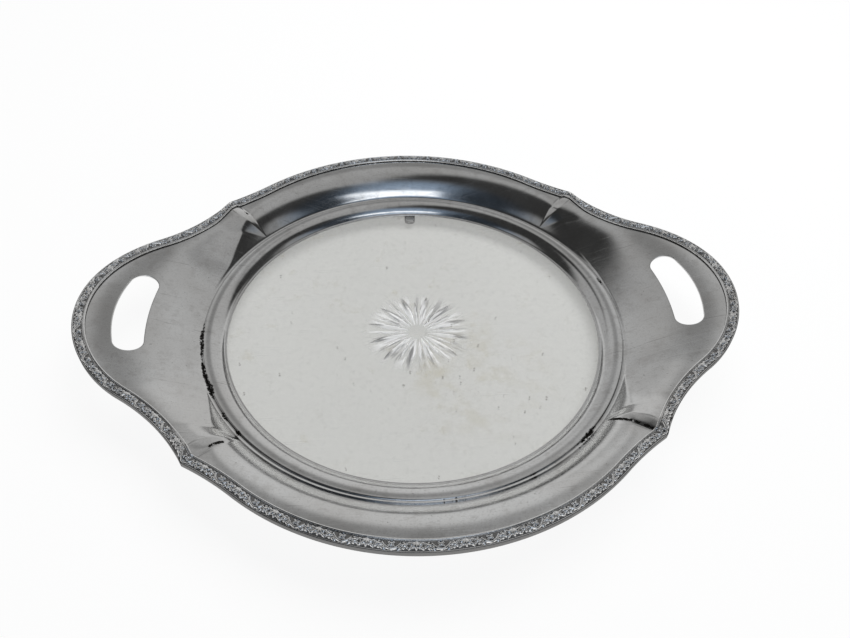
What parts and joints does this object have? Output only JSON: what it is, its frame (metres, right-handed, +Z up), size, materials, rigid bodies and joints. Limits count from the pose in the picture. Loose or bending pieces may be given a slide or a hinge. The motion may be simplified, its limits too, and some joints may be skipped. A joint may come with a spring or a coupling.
{
  "type": "serving tray",
  "caption": "Round-bodied serving tray with upswept pierced handles, floral border, and a star-cut glass base held by a domed ring.",
  "frame": {"origin": "on the table under the middle of the glass", "axes": "+X along the two handles, +Y to the back, +Z up"},
  "size_m": [0.39, 0.325, 0.0396],
  "materials": {
    "plated_sheet": "aged silver plate, dull polish with fine scratches and dark tarnish in the creases",
    "plated_ring": "aged silver plate, dull polish, dark residue along the seam",
    "plated_border": "aged silver plate, die-struck floral relief with dark recesses",
    "plated_base": "aged silver plate, plain",
    "clear_glass": "clear polished glass with fine scratches and specks"
  },
  "bodies": {
    "root": {"tray_body": "plated_sheet", "bezel_ring": "plated_ring", "glass_disc": "clear_glass", "base_ring": "plated_base", "glass_tab": "plated_base", "border_back": "plated_border", "border_front": "plated_border", "border_left": "plated_border", "border_right": "plated_border"}
  },
  "joints": []
}
